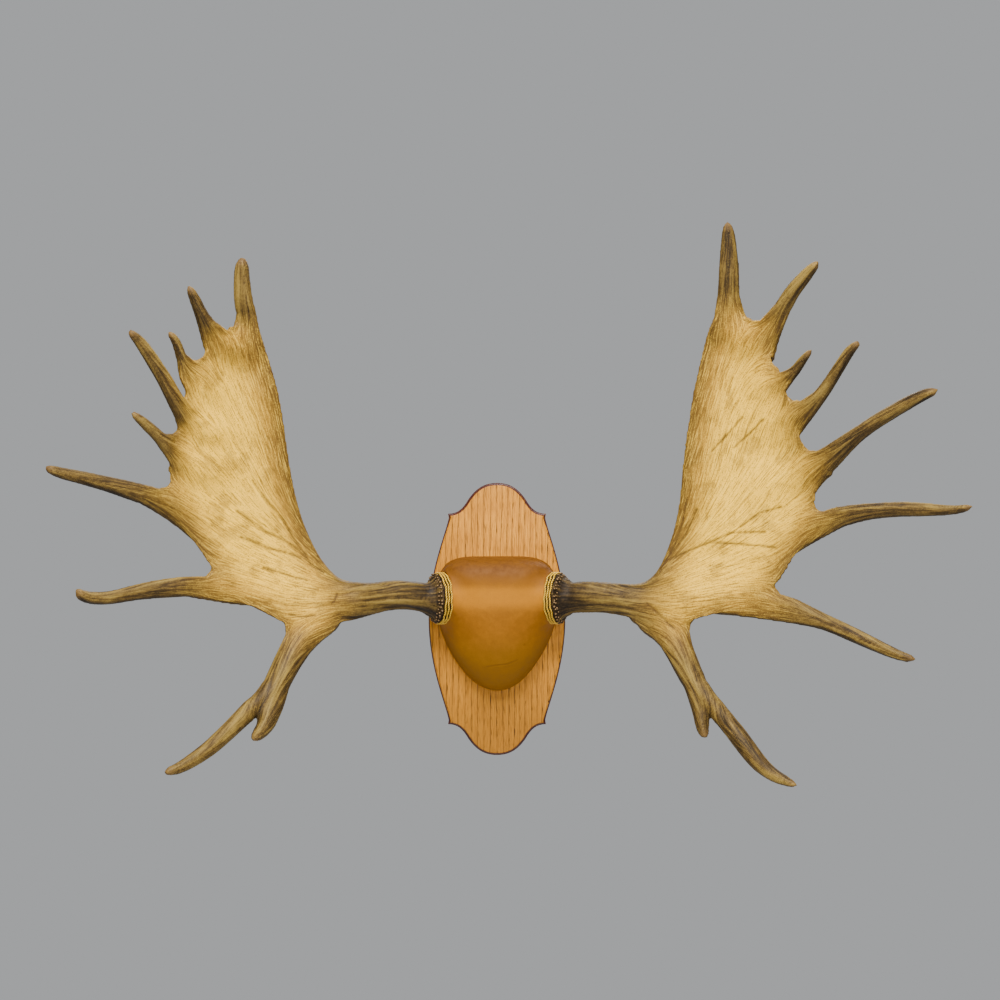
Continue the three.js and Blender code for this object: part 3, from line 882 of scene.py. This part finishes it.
def antler_bone():
    material, tree, here = new_material("antler_bone_dry_brushed")
    growth = attribute(tree, "growth", "Vector")
    ridge, line, beam, tine, inside, heart, under, groove, worn, crown = [
        attribute(tree, name) for name in
        "ridge line beam tine inside heart under groove worn crown".split()
    ]

    hair = 0.0
    for tap in range(-HAIRLINE_TAPS, HAIRLINE_TAPS + 1):
        shift = [tap * HAIRLINE_STEP] * 3
        at = node(tree, "VectorMath", {0: growth, 1: shift, 2: here}, operation="MULTIPLY_ADD")
        hair = maths(tree, "ADD", hair, noise(tree, at.outputs[0], HAIRLINE_MM, 0.0))
    hair = maths(tree, "DIVIDE", hair, 2 * HAIRLINE_TAPS + 1)
    dark_hair = between(tree, hair, 0.495, 0.43)
    pale_hair = between(tree, hair, 0.505, 0.57)

    cloud = noise(tree, here, 48, 4.0)
    palm = ramp(tree, cloud, [(0.35, "#8E6820"), (0.5, "#A67A22"), (0.65, "#BC8C26")])
    palm = layered(tree, palm, [
        # Painted highlight: the palm's middle, far from every rim, is painted brighter.
        (heart, 0.85, "#FFC62C"),
        # Darker rim round the palm: partly its own brown edge, partly painted shade where the edge
        # rolls away.
        (maths(tree, "SUBTRACT", 1.0, inside), 0.92, "#523A14"),
        (between(tree, noise(tree, here, 30, 4.0), 0.5, 0.66), 0.5, "#7C5C1E"),
        (between(tree, line, 0.0, -2.2), 0.35, "#5E4216"),
        (dark_hair, 0.65, "#4C3410"),
        (pale_hair, 0.35, "#FFD04C"),
        (between(tree, noise(tree, here, 1.7, 1.0), 0.58, 0.7), 0.5, "#4A320E"),
    ])

    streaks = maths(tree, "MULTIPLY_ADD", line, 0.6, maths(tree, "MULTIPLY", ridge, 0.4))
    streaks = between(tree, streaks, -1.7, 1.7)
    brown, dark = [
        ramp(tree, streaks, list(zip((0.0, 0.35, 0.6, 1.0), colours))) for colours in (
            ("#1E1407", "#3E2D11", "#5A451C", "#80682E"),
            ("#0E0803", "#1E1408", "#32230E", "#56421C"),
        )
    ]
    brown = layered(tree, brown, [(dark_hair, 0.5, "#221706"), (pale_hair, 0.25, "#866C34")])
    dark = layered(tree, dark, [(dark_hair, 0.5, "#0E0703")])
    pearl = ramp(tree, crown, [(0.2, "#170D05"), (0.7, "#3A2813"), (1.0, "#8A6C48")])

    colour = layered(tree, palm, [
        (tine, 0.95, brown),
        (between(tree, beam, 0.12, 0.55), 1, brown),
        (between(tree, beam, 0.68, 0.92), 1, dark),
        # Painted shade: surfaces that face down are painted dark.
        (under, 0.8, dark),
        (groove, 0.85, "#3C260C"),
        (worn, 0.35, "#7E5E34"),
        (between(tree, crown, 0.02, 0.08), 1, pearl),
    ])
    rough = between(tree, cloud, 0.3, 0.7, 0.54, 0.66)
    return surfaced(material, colour, rough, (hair, 0.5, 0.8 * MM), specular=0.15)


# %% Make both antlers
bone = antler_bone()
for side in SIDES:
    grow_antler(side, bone)

# %% [markdown]
# ## The leather cap
#
# A thick caramel leather, wetted, stretched over the skull plate and drawn up round
# both burrs, where it dries hard. It has no seam. The frame's solid is rounded and
# remeshed as the antlers are, and the hollows beside the collars are filled, because
# leather bridges a tight corner. A shallow crease runs across the front, near the foot.

# %% Marks on the leather, x and z in millimetres
CAP_VOXEL = 1.5 * MM
CAP_FILL_PASSES = 500
BRAID_REACH = 6.6 * MM
CAP_SMOOTHING_PASSES, LAST_PASSES = 120, 20
CREASE = [(-15, -66), (-3, -63.5), (15, -62), (29, -56)]
CREASE_WIDTH = 1.0 * MM
CREASE_LIP = 3.2 * MM
SPOT = (40, -33)
SPOT_RADIUS = 1.6 * MM
# Where the leather bends over from its top to its front, a painted highlight makes it lighter.
HIGHLIGHT_HEIGHTS = (12, 32, 44, 58)
# Heights of painted shade: the cap's top and its foot are painted darker.
CAP_TOP_SHADE, CAP_LOW_SHADE = (44 * MM, 80 * MM), (0 * MM, -60 * MM)


def leather_hide():
    material, tree, here = new_material("caramel_leather_waxed")
    mottle = texture(tree, "Noise", here, 9, {"Detail": 6.0, "Roughness": 0.7}).outputs["Fac"]
    pores = texture(tree, "Voronoi", here, 1.4, feature="SMOOTH_F1").outputs["Distance"]
    height = node(tree, "SeparateXYZ", {"Vector": here}).outputs["Z"]
    low, full, faded, high = [z * MM for z in HIGHLIGHT_HEIGHTS]
    painted_highlight_strip = maths(tree, "MULTIPLY", between(tree, height, low, full),
                 between(tree, height, high, faded))

    colour = ramp(tree, mottle, [(0.3, "#784804"), (0.5, "#824F04"), (0.7, "#8C5706")])
    colour = layered(tree, colour, [
        (between(tree, noise(tree, here, 50), 0.4, 0.65), 0.3, "#724404"),
        # Painted highlight across the bend from top to front.
        (painted_highlight_strip, 0.55, "#B0700C"),
        # Painted shade: the cap's top is painted darker, more so in mottled patches.
        (between(tree, height, *CAP_TOP_SHADE), between(tree, mottle, 0.35, 0.65, 0.6, 0.95), "#56310A"),
        # Painted shade: the cap is painted darker towards its foot.
        (between(tree, height, *CAP_LOW_SHADE), 0.5, "#6C4A00"),
        (between(tree, pores, 0.35, 0.1), 0.2, "#523006"),
        # The crease's dark line is painted shade; the spot is a real stain.
        (attribute(tree, "mark"), 1, "#3E2208"),
        # Painted shadow: the leather under each braid and just past its edge is painted nearly
        # black.
        (attribute(tree, "hem"), 1, "#1C1006"),
    ])
    rough = between(tree, mottle, 0.3, 0.7, 0.56, 0.68)
    grain = maths(tree, "ADD", pores, maths(tree, "MULTIPLY", mottle, 0.6))
    return surfaced(material, colour, rough, (grain, 0.4, 0.25 * MM), specular=0.12)


def make_cap():
    mesh = remeshed(rounded("leather_cap"), CAP_VOXEL)
    links = Links(mesh)
    points = smoothed(positions(mesh), links, CAP_SMOOTHING_PASSES)
    collars = [burr_of(side) for side in SIDES]
    reach = np.maximum.reduce([(points - middle) @ axis for middle, axis in collars])
    under_braid = reach > -BRAID_REACH
    kept = points[under_braid]
    points = filled(mesh, points, links, CAP_FILL_PASSES)
    points[under_braid] = kept
    points = smoothed(points, links, LAST_PASSES)
    move_to(mesh, points)
    outward = normals(mesh)
    on_front = smoothstep(0.1, 0.4, -outward[:, 1])
    away = distance_to_line(points, CREASE)
    crease = bell(away, CREASE_WIDTH) * on_front
    lip = bell(away, CREASE_LIP) * on_front
    spot = bell(lengths(points[:, [0, 2]] - np.array(SPOT) * MM), SPOT_RADIUS) * on_front
    pull = value_noise(points, 26 * MM, 41) * 0.3 + value_noise(points, 9 * MM, 43) * 0.06
    height = MM * (pull + 0.3 * lip - 0.6 * crease - 0.3 * spot)
    move_to(mesh, points + outward * height[:, None])
    set_attributes(
        mesh, mark=np.maximum(0.3 * crease, 0.5 * spot),
        # The painted shadow of the braid on the leather.
        hem=smoothstep(-BRAID_REACH, -BRAID_REACH + 1 * MM, reach),
    )
    mesh.shade_smooth()
    place("leather_cap_hide", mesh, ["leather_cap"], leather_hide())


make_cap()

# %% [markdown]
# ## The braids
#
# Three gold cords lie side by side round each collar and cover the edge of the leather.
# Each cord is two strands twisted together, and each strand is a cotton core wound with
# fine gold thread. Two circles side by side are spun round the burr's axis, and then
# twisted about the cord's own middle line a whole number of times, so that the ends meet.

# %% Sizes of the braid
CORDS = 3
CORD_STEP = 4.2 * MM
CORD_RING = 36.8 * MM
CORD_WANDER = 0.9 * MM
STRAND_RADIUS = 0.82 * MM
STRAND_OFFSET = 0.56 * MM
STRAND_SIDES = 8
TWISTS = 32
STEPS_IN_TWIST = 12


def gold_thread():
    material, tree, here = new_material("gold_lurex_thread_wound")
    fray = noise(tree, here, 0.7)
    # Painted shade: the strands are painted near black where they press together, towards the
    # cord's middle line.
    colour = ramp(tree, attribute(tree, "crest"), [
        (0.0, "#1E1403"), (0.55, "#4A3408"), (0.8, "#C89018"), (1.0, "#FFD23C"),
    ])
    colour = layered(tree, colour, [(between(tree, fray, 0.45, 0.7), 0.35, "#8E6E22")])
    return surfaced(material, colour, 0.42, (fray, 0.6, 0.2 * MM), metallic=0.35)


def make_braid(side, material):
    middle, axis = burr_of(side)
    bm = bmesh.new()
    crest = bm.verts.layers.float.new("crest")
    for cord in range(CORDS):
        start = len(bm.verts)
        for way in (-1, 1):
            at = Matrix.Translation((CORD_RING + way * STRAND_OFFSET, 0, 0))
            ring = bmesh.ops.create_circle(
                bm, segments=STRAND_SIDES, radius=STRAND_RADIUS,
                matrix=at @ Matrix.Rotation(math.pi / 2, 4, "X"),
            )["verts"]
            edges = list({edge for vert in ring for edge in vert.link_edges})
            bmesh.ops.spin(
                bm, geom=ring + edges, cent=(0, 0, 0), axis=(0, 0, 1), angle=2 * math.pi,
                steps=TWISTS * STEPS_IN_TWIST, use_merge=True,
            )
        bm.verts.ensure_lookup_table()
        for vert in bm.verts[start:]:
            turn = math.atan2(vert.co.y, vert.co.x)
            line = Vector((math.cos(turn), math.sin(turn), 0)) * CORD_RING
            along = Vector((-math.sin(turn), math.cos(turn), 0))
            arm = Matrix.Rotation(turn * TWISTS, 3, along) @ (vert.co - line)
            # How far out on the cord each place lies, which sets the painted shade.
            vert[crest] = arm.length / (STRAND_OFFSET + STRAND_RADIUS)
            lift = (cord - (CORDS - 1) / 2) * CORD_STEP
            lift += CORD_WANDER * math.sin(9 * turn + cord) * math.sin(4 * turn + 1)
            vert.co = line + arm + Vector((0, 0, lift))
    bmesh.ops.transform(bm, matrix=Matrix.Translation(middle) @ turn_to(axis), verts=bm.verts)
    mesh = finished(bm, "braid")
    place(f"{side}_gold_braid", mesh, [f"{side}_braid"], material)


thread = gold_thread()
for side in SIDES:
    make_braid(side, thread)

# %% [markdown]
# ## The plaque
#
# Plain-sawn red oak, cut to an outline with a crest, two horns and long bowed sides,
# above and below alike. A router bit gave the front edge its step and hollow, and that
# edge is stained dark mahogany. The outline is drawn as curves, and the edge is made by
# insets of the front face, one for each step of the bit's profile.

# %% The plaque's board
THICKNESS = 19 * MM
QUARTER_EDGE = [
    [(0, 203), (20, 203), (32, 194), (43, 178)],
    [(43, 178), (51, 164), (59, 157), (73, 157)],
    [(72, 151), (76, 128), (102, 72), (102, 0)],
]
POINTS_ON_CURVES = (16, 9, 30)
EDGE_DEPTH, EDGE_INSET = 7, 5


def quarter_outline():
    points = []
    for curve, count in zip(QUARTER_EDGE, POINTS_ON_CURVES):
        knots = [Vector((x, z, 0)) * MM for x, z in curve]
        points += interpolate_bezier(*knots, count)
    return points


def router_steps():
    """Insets and rises, in millimetres: a short upright, a small step, then a cove."""
    steps = [(0.01, 0.6), (1.1, 0.05)]
    bends = 6
    wide, high = EDGE_INSET - 1.11, EDGE_DEPTH - 0.65
    for i in range(bends):
        a, b = i / bends * math.pi / 2, (i + 1) / bends * math.pi / 2
        steps.append((wide * (math.cos(a) - math.cos(b)), high * (math.sin(b) - math.sin(a))))
    return steps


def make_board():
    bm = bmesh.new()
    quarter = quarter_outline()
    right = quarter + [Vector((p.x, -p.y, 0)) for p in reversed(quarter[:-1])]
    loop = right + [Vector((-p.x, p.y, 0)) for p in reversed(right[1:-1])]
    face = bm.faces.new([bm.verts.new((p.x, 0, p.y)) for p in loop])
    face.normal_update()
    if face.normal.y > 0:
        bmesh.ops.reverse_faces(bm, faces=[face])
    bm.faces.new([bm.verts.new(v.co) for v in reversed(face.verts)])
    sides = bmesh.ops.extrude_face_region(bm, geom=[face])["geom"]
    front = next(item for item in sides if isinstance(item, bmesh.types.BMFace))
    bmesh.ops.delete(bm, geom=[face], context="FACES_ONLY")
    upright = THICKNESS - EDGE_DEPTH * MM
    bmesh.ops.translate(bm, vec=(0, -upright, 0), verts=front.verts)
    for inset, rise in router_steps():
        bmesh.ops.inset_individual(bm, faces=[front], thickness=inset * MM, depth=rise * MM,
                                   use_even_offset=True)
    bmesh.ops.remove_doubles(bm, verts=bm.verts, dist=0.001 * MM)
    return finished(bm, "board")


# %% Oak and its stained edge
RING_WIDTH_MM = 8
LOG_CENTRE = Vector((-260, 110, 0)) * MM
LOG_LEAN = (0.01, 0.02)
# Painted shade: below these heights the board is painted darker towards its foot.
BOARD_SHADE_TOP, BOARD_SHADE_END = -30 * MM, -170 * MM
STAINED_ENDS, STAINED_SIDES = -18.6 * MM, -16.2 * MM


def red_oak():
    material, tree, here = new_material("red_oak_oiled_mahogany_edge")
    x, y, z = node(tree, "SeparateXYZ", {"Vector": here}).outputs

    def stretched(width_mm, length_mm, detail):
        return drawn_out(tree, here, width_mm, width_mm / length_mm, detail)

    def off_centre(axis, centre, lean):
        shift = maths(tree, "MULTIPLY_ADD", z, lean, centre)
        return maths(tree, "SUBTRACT", axis, shift)

    sway = maths(tree, "MULTIPLY_ADD", stretched(30, 220, 2.0), 16 * MM, -8 * MM)
    from_log = node(tree, "CombineXYZ", {
        "X": maths(tree, "ADD", off_centre(x, LOG_CENTRE.x, LOG_LEAN[0]), sway),
        "Y": off_centre(y, LOG_CENTRE.y, LOG_LEAN[1]),
    })
    radius = node(tree, "VectorMath", {0: from_log.outputs[0]}, operation="LENGTH")
    ring = maths(tree, "DIVIDE", radius.outputs["Value"], RING_WIDTH_MM * MM)
    grown = maths(tree, "FRACT", ring)
    early = between(tree, grown, 0.45, 0.0)
    seam = between(tree, grown, 0.13, 0.03)

    pores = between(tree, stretched(0.9, 16, 1.0), 0.54, 0.63)
    fibre = stretched(1.1, 30, 3.0)
    dashes = maths(tree, "MULTIPLY", pores, maths(tree, "MULTIPLY_ADD", early, 0.65, 0.3))
    wood = ramp(tree, fibre, [(0.3, "#A2660E"), (0.5, "#C07C16"), (0.7, "#D48E24")])
    wood = layered(tree, wood, [
        (between(tree, stretched(45, 90, 2.0), 0.4, 0.65), 0.35, "#A86A12"),
        # Painted shade towards the board's foot.
        (between(tree, z, BOARD_SHADE_TOP, BOARD_SHADE_END), 0.65, "#7E5008"),
        (early, 0.3, "#7C4C10"),
        (seam, between(tree, stretched(1.0, 22, 2.0), 0.38, 0.52, 0.25, 0.85), "#382006"),
        (dashes, 1, "#341C06"),
    ])

    upright = maths(tree, "ABSOLUTE", z)
    limit = between(tree, upright, 125 * MM, 160 * MM, STAINED_SIDES, STAINED_ENDS)
    past = maths(tree, "SUBTRACT", y, limit)
    stain = maths(tree, "MULTIPLY", between(tree, past, -0.5 * MM, 0.5 * MM),
                  between(tree, y, -0.2 * MM, -1.2 * MM))
    worn = between(tree, stretched(3, 20, 2.0), 0.3, 0.5, 0.8, 1.0)
    colour = layered(tree, wood, [(stain, worn, "#380C06")])
    rough = between(tree, pores, 0.0, 1.0, 0.5, 0.65)
    grain = maths(tree, "SUBTRACT", maths(tree, "MULTIPLY", fibre, 0.4), dashes)
    return surfaced(material, colour, rough, (grain, 0.5, 0.3 * MM), specular=0.2)


# %% [markdown]
# ## The hanger and the screws
#
# A stamped brass keyhole plate is let into the back, with a pocket behind it for the
# head of the wall screw. Two small brass screws hold it. Three steel screws go through
# the board into the skull plate. All sit flush, so that the back lies flat on the wall.
# The board's hollows are cut by the same shapes, made a little larger.

# %% Shapes of the hardware, in millimetres
PLATE = {"z": 150, "width": 20, "height": 52, "thickness": 1.6, "corner": 3.5}
KEYHOLE = {"z": 144, "radius": 5, "slot": 4.8, "rise": 14}
POCKET_DEPTH, POCKET_MARGIN = 9, 2.5
BRASS_SCREW = [(0, 0), (3.2, 0), (3.2, 0.4), (1.4, 2), (1.4, 9), (0, 13)]
STEEL_SCREW = [(0, 0), (4.4, 0), (4.4, 0.4), (2.2, 3.2), (2.2, 40), (0, 44)]
BRASS_PLACES = [(0, 170), (0, 130)]
STEEL_PLACES = [(-30, 42), (30, 42), (0, -24)]
FIT = 0.3
OVER = 1
ROUND = 40


def turned(bm, rows, x, z, margin=0):
    """Spins rows of radius and depth round an axis that points forward from the wall."""
    def make():
        verts = [bm.verts.new(Vector((r + margin * (r > 0), -depth, 0)) * MM) for r, depth in rows]
        edges = [bm.edges.new(pair) for pair in zip(verts, verts[1:])]
        bmesh.ops.spin(bm, geom=verts + edges, cent=(0, 0, 0), axis=(0, 1, 0),
                       angle=2 * math.pi, steps=ROUND, use_merge=True)
    made = added(bm, make)
    bmesh.ops.translate(bm, verts=made, vec=Vector((x, 0, z)) * MM)
    bmesh.ops.remove_doubles(bm, verts=made, dist=0.001 * MM)


def block(bm, width, front, height, z, back=-OVER, corner=0):
    """A block from `back` to `front` off the wall, with its upright edges rounded."""
    size = Matrix.Diagonal((width * MM, (front - back) * MM, height * MM, 1))
    at = Matrix.Translation(Vector((0, -(front + back) / 2, z)) * MM)
    made = added(bm, lambda: bmesh.ops.create_cube(bm, size=1, matrix=at @ size))
    if corner:
        edges = {e for v in made for e in v.link_edges
                 if abs(e.verts[0].co.y - e.verts[1].co.y) > MM / 2}
        bmesh.ops.bevel(bm, geom=list(edges), offset=corner * MM, segments=6, profile=0.5,
                        affect="EDGES", material=-1)


def keyhole(bm, front, margin=0):
    radius, slot, rise = KEYHOLE["radius"], KEYHOLE["slot"], KEYHOLE["rise"]
    turned(bm, [(0, -OVER), (radius, -OVER), (radius, front), (0, front)], 0, KEYHOLE["z"], margin)
    block(bm, slot + 2 * margin, front, rise, KEYHOLE["z"] + rise / 2)


def screw_holes(bm, rows, places, margin):
    """Holes for screws, open at the wall."""
    opened = [(0, -OVER), (rows[1][0], -OVER), *rows[2:-1], (0, rows[-1][1] + margin)]
    for x, z in places:
        turned(bm, opened, x, z, margin)


def cut(mesh, cutter):
    """The mesh with the cutter's shapes taken out."""
    bmesh.ops.recalc_face_normals(cutter, faces=cutter.faces)
    shape = bpy.data.meshes.new("cutter")
    cutter.to_mesh(shape)
    cutter.free()
    holder = linked("cutter", shape)
    result = modified(mesh, "BOOLEAN", object=holder, operation="DIFFERENCE", solver="EXACT",
                      use_self=True)
    bpy.data.objects.remove(holder)
    return crisp(result)


def crisp(mesh):
    """Smooth faces with sharp edges where they meet at over 30 degrees, and no needles."""
    bm = bmesh.new()
    bm.from_mesh(mesh)
    bmesh.ops.triangulate(bm, faces=bm.faces)
    bmesh.ops.dissolve_degenerate(bm, edges=bm.edges, dist=0.005 * MM)
    bm.to_mesh(mesh)
    bm.free()
    mesh.shade_smooth()
    mesh.set_sharp_from_angle(angle=math.radians(30))
    return mesh


# %% The board with its hollows
cutter = bmesh.new()
block(cutter, PLATE["width"] + 2 * FIT, PLATE["thickness"] + FIT, PLATE["height"] + 2 * FIT,
      PLATE["z"], corner=PLATE["corner"])
keyhole(cutter, POCKET_DEPTH, POCKET_MARGIN)
screw_holes(cutter, BRASS_SCREW, BRASS_PLACES, FIT)
screw_holes(cutter, STEEL_SCREW, STEEL_PLACES, FIT)
place("oak_board", cut(make_board(), cutter), ["oak_plaque"], red_oak())


# %% Brass, steel and bone
def metal(name, colour, dull, scratch_mm):
    """Bare metal, stamped or turned, with fine scratches and dull patches."""
    material, tree, here = new_material(name)
    tarnish = between(tree, noise(tree, here, 5, 4.0), 0.4, 0.7)
    rough = maths(tree, "MULTIPLY_ADD", drawn_out(tree, here, scratch_mm, 0.08), 0.25, 0.2)
    rough = maths(tree, "MULTIPLY_ADD", tarnish, 0.2, rough)
    return surfaced(material, blend(tree, tarnish, colour, dull), rough, metallic=1.0)


def sawn_bone():
    material, tree, here = new_material("skull_bone_sawn_with_filler")
    cells = texture(tree, "Voronoi", here, 2.5).outputs["Distance"]
    cloud = noise(tree, here, 18, 4.0)
    colour = ramp(tree, cloud, [(0.3, "#B9A680"), (0.5, "#CFC0A0"), (0.7, "#DDD2B8")])
    colour = layered(tree, colour, [(between(tree, cells, 0.45, 0.1), 0.4, "#8E7A58")])
    return surfaced(material, colour, 0.8, (cells, 0.6, 0.5 * MM))


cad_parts["skull_plate"].material_slots[0].material = sawn_bone()

# %% Keyhole plate and screws
RECESS = {"arm": 0.62, "width": 0.2, "depth": 1.1}


def make_plate(material):
    bm = bmesh.new()
    block(bm, PLATE["width"], PLATE["thickness"], PLATE["height"], PLATE["z"], back=0,
          corner=PLATE["corner"])
    uncut = finished(bm, "plate")
    cutter = bmesh.new()
    keyhole(cutter, PLATE["thickness"] + OVER)
    screw_holes(cutter, BRASS_SCREW, BRASS_PLACES, FIT)
    place("keyhole_plate_brass", cut(uncut, cutter), ["keyhole_plate"], material)


def make_screw(name, rows, x, z, replaced, material):
    """A countersunk screw with a cross recess."""
    bm = bmesh.new()
    turned(bm, rows, x, z)
    uncut = finished(bm, name)
    head = rows[1][0]
    arm, width = 2 * RECESS["arm"] * head, 2 * RECESS["width"] * head
    cutter = bmesh.new()
    for wide, high in ((arm, width), (width, arm)):
        made = added(cutter, lambda: block(cutter, wide, RECESS["depth"], high, z))
        bmesh.ops.translate(cutter, verts=made, vec=(x * MM, 0, 0))
    place(name, cut(uncut, cutter), [replaced], material)


brass = metal("brass_stamped_lacquered", "#B8924A", "#8A6A34", 0.3)
steel = metal("steel_zinc_plated", "#B4B6B4", "#8E9090", 0.3)
make_plate(brass)
for count, (x, z) in enumerate(BRASS_PLACES, 1):
    make_screw(f"brass_screw_{count}", BRASS_SCREW, x, z, f"hanger_screw_{count}", brass)
for count, (x, z) in enumerate(STEEL_PLACES, 1):
    make_screw(f"steel_screw_{count}", STEEL_SCREW, x, z, f"fixing_screw_{count}", steel)

# %% [markdown]
# ## Stage
#
# A plain pale floor lies well below the mount, as the studio's floor would, and a plain
# grey world lights it from all round. A large soft light hangs in front and above.

# %% Floor, world and lights
FLOOR_Z = -1.1
FLOOR_RADIUS = 2.2
AIM = Vector((0, 0, 0.1))
LIGHTS = [
    # name, place and size in metres, and power in watts
    ("key", (-0.2, -2.1, 2.5), 1.5, 260),
    ("fill", (0.5, -2.9, 0.5), 1.6, 40),
    ("back", (0.4, 1.8, 2.0), 1.6, 60),
]

bm = bmesh.new()
bmesh.ops.create_circle(bm, cap_ends=True, segments=96, radius=FLOOR_RADIUS,
                        matrix=Matrix.Translation((0, -0.6, FLOOR_Z)))
floor_mesh = finished(bm, "floor")
floor_mesh.materials.append(surfaced(new_material("studio_floor")[0], "#C9C9C7", 0.9))
floor = linked("floor", floor_mesh)

world = bpy.data.worlds.new("studio")
bpy.context.scene.world = world
world.use_nodes = True
background = world.node_tree.nodes["Background"]
set_inputs(world.node_tree, background, {"Color": "#BCBEC0", "Strength": 0.8})

for name, at, size, power in LIGHTS:
    data = bpy.data.lights.new(name, "AREA")
    data.size, data.energy = size, power
    light = linked(name, data)
    light.location = at
    light.rotation_euler = (AIM - Vector(at)).to_track_quat("-Z", "Y").to_euler()
print("lights:", len(LIGHTS))
